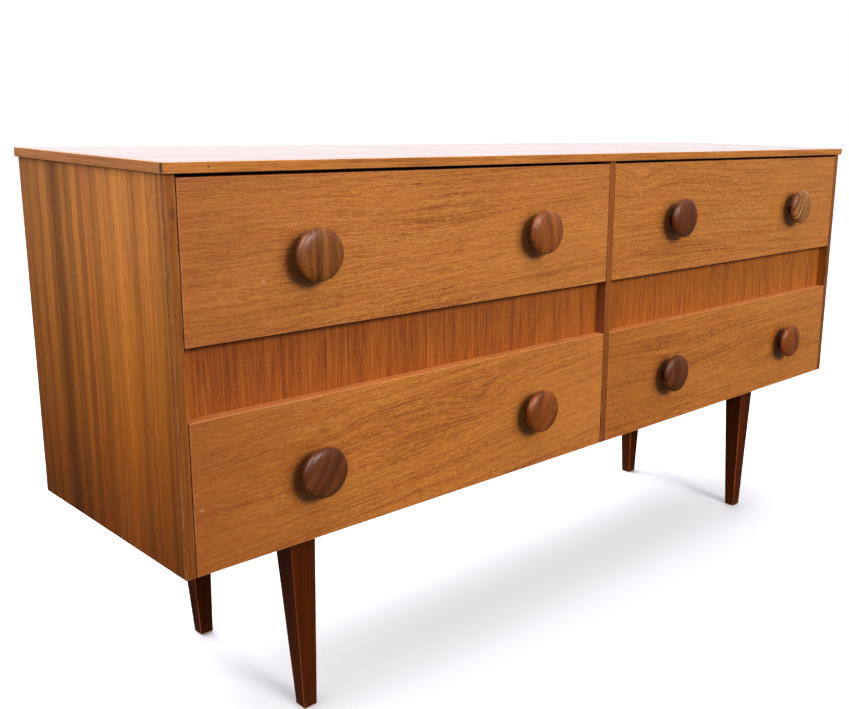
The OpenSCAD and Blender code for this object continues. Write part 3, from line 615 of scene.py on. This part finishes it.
# drawer fronts: seed, figure bumps (x, z, reach along, reach across, height), tilt, warp, blemishes
paint(
    teak_front(
        "teak_front_upper_left", "upper_left_drawer_front", 2.3,
        ((-0.437, 0.680, 0.050, 0.014, 0.010), (-0.36, 0.640, 0.14, 0.030, 0.008), (-0.20, 0.600, 0.20, 0.030, -0.008)),
        -0.040, 0.026,
        ((-0.388, 0.700, 0.006, 0.0016, (96, 50, 30), 0.7), (-0.384, 0.653, 0.022, 0.0014, (104, 54, 32), 0.7),
         (-0.674, 0.586, 0.003, 0.0012, (118, 56, 28), 0.55), (-0.513, 0.560, 0.0020, 0.0014, (110, 52, 26), 0.6),
         (-0.614, 0.600, 0.0018, 0.0022, (206, 160, 126), 0.55)),
        left=0.46,
    ),
    "upper_left_drawer_front",
)
paint(
    teak_front(
        "teak_front_upper_right", "upper_right_drawer_front", 7.9,
        ((0.070, 0.690, 0.050, 0.026, 0.018), (0.360, 0.668, 0.12, 0.022, 0.012), (0.12, 0.57, 0.2, 0.03, -0.008)),
        0.006, 0.030,
        ((0.352, 0.665, 0.012, 0.0014, (112, 60, 34), 0.6),),
        left=0.05,
    ),
    "upper_right_drawer_front",
)
paint(
    teak_front(
        "teak_front_lower_left", "lower_left_drawer_front", 13.1,
        ((-0.276, 0.397, 0.060, 0.022, 0.020), (-0.537, 0.407, 0.042, 0.015, 0.012), (-0.40, 0.33, 0.22, 0.035, 0.014)),
        -0.085, 0.034,
        ((-0.276, 0.400, 0.016, 0.006, (128, 70, 36), 0.5), (-0.537, 0.408, 0.008, 0.004, (124, 68, 36), 0.5),
         (-0.702, 0.350, 0.0026, 0.0007, (226, 180, 134), 0.75), (-0.598, 0.340, 0.0018, 0.0022, (206, 160, 126), 0.5)),
        left=0.62,
    ),
    "lower_left_drawer_front",
)
paint(
    teak_front(
        "teak_front_lower_right", "lower_right_drawer_front", 19.7,
        ((0.20, 0.385, 0.18, 0.028, 0.018), (0.52, 0.36, 0.15, 0.03, -0.014)),
        -0.020, 0.028,
        ((0.30, 0.418, 0.004, 0.003, (120, 62, 34), 0.5),),
    ),
    "lower_right_drawer_front",
)

# side panels: ribbon stops run from the front (0) to the back (1), t is the tone of each


def ribbons(*tones):
    out = []
    for u, t, red in tones:
        t = 176 + (t - 180) * 1.35 - 9 * max(0.0, u - 0.5) * 2
        out.append((u, rgb(t, t * 0.66 - 4 - red, t * 0.33 - 3)))
    return out


paint(
    ribbon_side(
        "ribbon_left", "side_panel_left", 3.7,
        ribbons(
            (0.00, 182, 0), (0.06, 188, 0), (0.11, 200, 0), (0.15, 194, 0), (0.185, 178, 0), (0.22, 196, 0),
            (0.29, 210, 0), (0.345, 198, 0), (0.385, 198, 0), (0.425, 178, 0), (0.46, 180, 0), (0.50, 188, 9),
            (0.535, 164, 3), (0.575, 196, 0), (0.62, 158, 0), (0.66, 184, 0), (0.70, 150, 0), (0.735, 142, 0),
            (0.78, 170, 0), (0.82, 188, 0), (0.86, 170, 0), (0.90, 182, 0), (0.94, 164, 0), (1.0, 180, 0),
        ),
    ),
    "side_panel_left",
)
paint(
    ribbon_side(
        "ribbon_right", "side_panel_right", 11.3,
        ribbons(
            (0.00, 184, 0), (0.08, 198, 0), (0.15, 160, 0), (0.19, 186, 0), (0.27, 208, 0), (0.34, 152, 0),
            (0.38, 190, 9), (0.43, 186, 3), (0.50, 206, 0), (0.56, 168, 0), (0.60, 146, 0), (0.65, 186, 0),
            (0.72, 196, 0), (0.78, 156, 0), (0.82, 186, 0), (0.90, 150, 0), (0.95, 180, 0), (1.0, 168, 0),
        ),
    ),
    "side_panel_right",
)

paint(red_rail("rail_left", "recessed_rail_left", 5.1, 0.92, 1.12), "recessed_rail_left")
paint(red_rail("rail_right", "recessed_rail_right", 9.4, 1.10, 1.25), "recessed_rail_right")
paint(teak_top("teak_top", "top_panel", 4.4), "top_panel")

paint(
    lipping("edge_top_front", "top_lipping_front", 1.7, "x", (212, 140, 68), (191, 119, 52), (146, 82, 34),
            ends=(40, 26, 24), knots=((-0.6773, 0.7286, 0.0013, 0.0012, (52, 30, 24), 0.95),), nicks=0.35),
    "top_lipping_front",
)
paint(lipping("edge_top_left", "top_lipping_left", 2.9, "y", (200, 134, 74), (180, 112, 54), (142, 84, 38), nicks=0.3), "top_lipping_left")
paint(lipping("edge_top_right", "top_lipping_right", 6.3, "y", (200, 134, 74), (180, 112, 54), (142, 84, 38), nicks=0.3), "top_lipping_right")
paint(
    lipping("edge_side_left", "side_lipping_left", 8.8, "z", (172, 106, 44), (150, 88, 32), (110, 60, 22),
            knots=((0.680, -0.7175, 0.0075, 0.0036, (92, 50, 28), 0.75), (0.664, -0.7190, 0.004, 0.002, (104, 58, 32), 0.5)), nicks=0.40),
    "side_lipping_left",
)
paint(lipping("edge_side_right", "side_lipping_right", 12.2, "z", (172, 106, 44), (150, 88, 32), (110, 60, 22)), "side_lipping_right")
paint(lipping("edge_divider", "divider_lipping", 15.5, "z", (178, 106, 48), (156, 88, 36), (116, 62, 26), nicks=0.3), "divider_lipping")

W = {  # light, mid, dark
    "grey": ((168, 105, 46), (124, 68, 23), (66, 32, 11)),
    "warm": ((182, 110, 48), (142, 76, 28), (82, 40, 14)),
    "dark": ((136, 78, 36), (96, 48, 16), (50, 23, 8)),
    "stripe": ((214, 156, 92), (150, 92, 44), (70, 36, 16)),
    "red": ((176, 96, 36), (134, 66, 19), (70, 32, 8)),
}
for node, seed, tone, ang, pith, con, stripe in (
    ("upper_left_knob_l", 1.3, "grey", 4, (-0.050, 0.035), 1.15, 80.0),
    ("upper_left_knob_r", 4.1, "warm", 8, (0.070, 0.030), 1.0, 95.0),
    ("upper_right_knob_l", 6.2, "dark", -4, (0.080, 0.040), 0.9, 90.0),
    ("upper_right_knob_r", 8.5, "stripe", -24, (0.060, 0.030), 1.5, 110.0),
    ("lower_left_knob_l", 10.9, "dark", -30, (-0.080, 0.030), 0.9, 85.0),
    ("lower_left_knob_r", 12.4, "red", -42, (0.075, 0.035), 1.1, 100.0),
    ("lower_right_knob_l", 14.6, "dark", -14, (0.070, 0.050), 0.9, 85.0),
    ("lower_right_knob_r", 16.8, "red", 14, (-0.055, 0.030), 1.1, 80.0),
):
    light, mid, dark = W[tone]
    paint(knob("walnut_" + node, node, seed, light, mid, dark, ang, pith, con, stripe), node)

# the back-left leg's stain is darkened to 0.62: painted shade, as that leg stands deep under the carcass
for i, n in enumerate(("leg_front_left", "leg_front_right", "leg_back_left", "leg_back_right")):
    paint(stained_leg("stain_" + n, n, 2.1 + 3.3 * i, 0.62 if n == "leg_back_left" else 1.0), n)

inner_red = plain_wood("divider_core", "z", 5.5, (176, 106, 56), (152, 84, 40), (116, 60, 28), 0.5)
paint(inner_red, "centre_divider")
beech_y = plain_wood("beech_sides", "y", 3.3, (220, 184, 138), (206, 166, 118), (178, 134, 88))
beech_x = plain_wood("beech_across", "x", 6.6, (218, 182, 136), (202, 162, 114), (174, 130, 86))
paint(beech_x, *[d + "_drawer_back" for d in DRAWERS])
# the rail in the gap under the top gets near-black wood: painted shade, so the gap reads dark
paint(plain_wood("shaded_dark_rail", "x", 4.9, (74, 42, 24), (56, 30, 16), (38, 20, 11), 0.6), "front_top_rail")
paint(beech_y, *[d + "_drawer_side_" + s for d in DRAWERS for s in "lr"], *["runners_" + d for d in DRAWERS])
bearer = plain_wood("bearer_wood", "y", 9.1, (150, 92, 52), (122, 70, 38), (88, 48, 26), 0.5)
paint(bearer, "leg_bearer_left", "leg_bearer_right")
ply = plywood("birch_ply", 2.2)
paint(ply, "bottom_panel", *[d + "_drawer_bottom" for d in DRAWERS])
paint(hardboard("hardboard"), "back_panel")
paint(steel("plain_steel"), "bearer_screws", "leg_bolts", "back_pins", *[d + "_knob_screws" for d in DRAWERS])

for n in [d + "_drawer_front" for d in DRAWERS]:
    ease(n, 0.0008)
for n in ("top_panel", "top_lipping_front", "top_lipping_left", "top_lipping_right"):
    ease(n, 0.0005)
for n in ("side_panel_left", "side_panel_right", "side_lipping_left", "side_lipping_right", "divider_lipping"):
    ease(n, 0.0005)
for n in ("recessed_rail_left", "recessed_rail_right", "front_top_rail", "centre_divider", "bottom_panel", "back_panel"):
    ease(n, 0.0003)
# the bevel faces on the legs' arrises take this paler second material: rubbed stain with a painted highlight
arris = arris_wear_and_highlight("leg_arris_wear_and_highlight")
for n in ("leg_front_left", "leg_front_right", "leg_back_left", "leg_back_right"):
    NODES[n].data.materials.append(arris)
    ease(n, 0.0015, slot=1)
for n in ("leg_bearer_left", "leg_bearer_right"):
    ease(n, 0.0010)
for d in DRAWERS:
    for part in ("side_l", "side_r", "back", "bottom"):
        ease(d + "_drawer_" + part, 0.0004, 2)
    ease("runners_" + d, 0.0008, 2)

# ------------------------------------------------------------------ floor, light, camera

bpy.ops.mesh.primitive_plane_add(size=80, location=(0, 0, -0.0003))
floor = bpy.context.object
floor.name = "floor"
fm = Mat("pale_floor")
fn = fm.noise(fm.P, 3.0, 3.0, 0.5)
fm.finish(fm.ramp(fn, [(0.0, (0.90, 0.90, 0.90, 1)), (1.0, (0.95, 0.95, 0.95, 1))]), 0.8, None, spec=0.2)
floor.data.materials.append(fm.m)
floor.visible_diffuse = False
floor.visible_glossy = False

world = bpy.data.worlds.new("studio")
bpy.context.scene.world = world
world.use_nodes = True
wt = world.node_tree
wt.nodes.clear()
wo = wt.nodes.new("ShaderNodeOutputWorld")
bg = wt.nodes.new("ShaderNodeBackground")
wc = wt.nodes.new("ShaderNodeTexCoord")
sp = wt.nodes.new("ShaderNodeSeparateXYZ")
cr = wt.nodes.new("ShaderNodeValToRGB")
mr = wt.nodes.new("ShaderNodeMapRange")
mr.inputs["From Min"].default_value = -1.0
mr.inputs["From Max"].default_value = 1.0
wt.links.new(wc.outputs["Generated"], sp.inputs[0])
wt.links.new(sp.outputs["Z"], mr.inputs["Value"])
wt.links.new(mr.outputs[0], cr.inputs[0])
e = cr.color_ramp.elements
stops = [(0.0, (0.10, 0.09, 0.08, 1)), (0.46, (0.16, 0.15, 0.14, 1)), (0.54, (0.36, 0.36, 0.37, 1)), (0.75, (0.55, 0.55, 0.62, 1)), (1.0, (0.75, 0.75, 0.85, 1))]
while len(e) < len(stops):
    e.new(0.5)
for el, (p, c) in zip(e, stops):
    el.position = p
for el, (p, c) in zip(e, stops):
    el.position = p
    el.color = c
# the room is brighter behind the dresser, above the floor, and its walls look plain white
gain = wt.nodes.new("ShaderNodeMapRange")
gain.inputs["From Min"].default_value = -0.1
gain.inputs["From Max"].default_value = 0.55
gain.inputs["To Min"].default_value = 0.0
gain.inputs["To Max"].default_value = 2.9
wt.links.new(sp.outputs["Y"], gain.inputs["Value"])
above = wt.nodes.new("ShaderNodeMapRange")
above.inputs["From Min"].default_value = 0.0
above.inputs["From Max"].default_value = 0.12
wt.links.new(sp.outputs["Z"], above.inputs["Value"])
gm = wt.nodes.new("ShaderNodeMath")
gm.operation = "MULTIPLY_ADD"
wt.links.new(gain.outputs[0], gm.inputs[0])
wt.links.new(above.outputs[0], gm.inputs[1])
gm.inputs[2].default_value = 1.0
wt.links.new(cr.outputs[0], bg.inputs[0])
wt.links.new(gm.outputs[0], bg.inputs[1])
white = wt.nodes.new("ShaderNodeBackground")
white.inputs[0].default_value = (1, 1, 1, 1)
white.inputs[1].default_value = 1.0
lp = wt.nodes.new("ShaderNodeLightPath")
both = wt.nodes.new("ShaderNodeMixShader")
wt.links.new(lp.outputs["Is Camera Ray"], both.inputs[0])
wt.links.new(bg.outputs[0], both.inputs[1])
wt.links.new(white.outputs[0], both.inputs[2])
wt.links.new(both.outputs[0], wo.inputs[0])


def area(name, loc, target, sx, sy, radiance, color=(1, 1, 1)):
    L = bpy.data.lights.new(name, "AREA")
    L.shape = "RECTANGLE"
    L.size, L.size_y = sx, sy
    L.energy = radiance * sx * sy * math.pi  # W, so that the panel's own radiance is the number asked for
    L.color = color
    o = bpy.data.objects.new(name, L)
    bpy.context.scene.collection.objects.link(o)
    o.location = loc
    d = Vector(target) - Vector(loc)
    o.rotation_mode = "QUATERNION"
    o.rotation_quaternion = d.to_track_quat("-Z", "Y")
    o.visible_camera = False
    return o


sky = area("sky_panel", (-0.5, 0.8, 3.6), (-0.2, 0.3, 0.4), 5.4, 4.6, 2.4, (0.90, 0.88, 1.0))
sky.visible_glossy = False
area("key", (-0.15, -4.85, 2.75), (0.0, -0.1, 0.45), 1.6, 1.2, 28.2, (1.0, 0.95, 0.88))
rim = area("rim_gloss", (-2.5, -0.9, 2.6), (-0.1, -0.2, 0.45), 2.8, 2.2, 8.0, (0.84, 0.82, 1.0))
rim.visible_diffuse = False
area("left_fill", (-3.3, -0.2, 1.7), (-0.7, 0.0, 0.5), 2.0, 1.8, 1.2, (1.0, 0.96, 0.92))

# Camera from the measured view: image right, up and back as columns, image point (531.55, 342.47) on the axis.
yaw, pitch, roll = 0.8154, 0.2238, -0.0234
f = Vector((math.sin(yaw) * math.cos(pitch), math.cos(yaw) * math.cos(pitch), -math.sin(pitch)))
r = f.cross(Vector((0, 0, 1))).normalized()
d = f.cross(r)
r2 = r * math.cos(roll) + d * math.sin(roll)
d2 = -r * math.sin(roll) + d * math.cos(roll)
cam_data = bpy.data.cameras.new("camera")
cam = bpy.data.objects.new("camera", cam_data)
bpy.context.scene.collection.objects.link(cam)
cam.matrix_world = Matrix(
    (
        (r2[0], -d2[0], -f[0], -1.2215964),
        (r2[1], -d2[1], -f[1], -1.1665922),
        (r2[2], -d2[2], -f[2], 0.7914447),
        (0, 0, 0, 1),
    )
)
cam_data.sensor_fit = "HORIZONTAL"
cam_data.sensor_width = 36.0
cam_data.lens = 1010.995 * 36.0 / 849.0
cam_data.shift_x = (424.5 - 531.5518) / 849.0
cam_data.shift_y = (342.4747 - 354.5) / 849.0
cam_data.clip_start = 0.05
cam_data.clip_end = 200
bpy.context.scene.camera = cam
bpy.context.scene.view_settings.view_transform = "Standard"
bpy.context.scene.view_settings.look = "None"
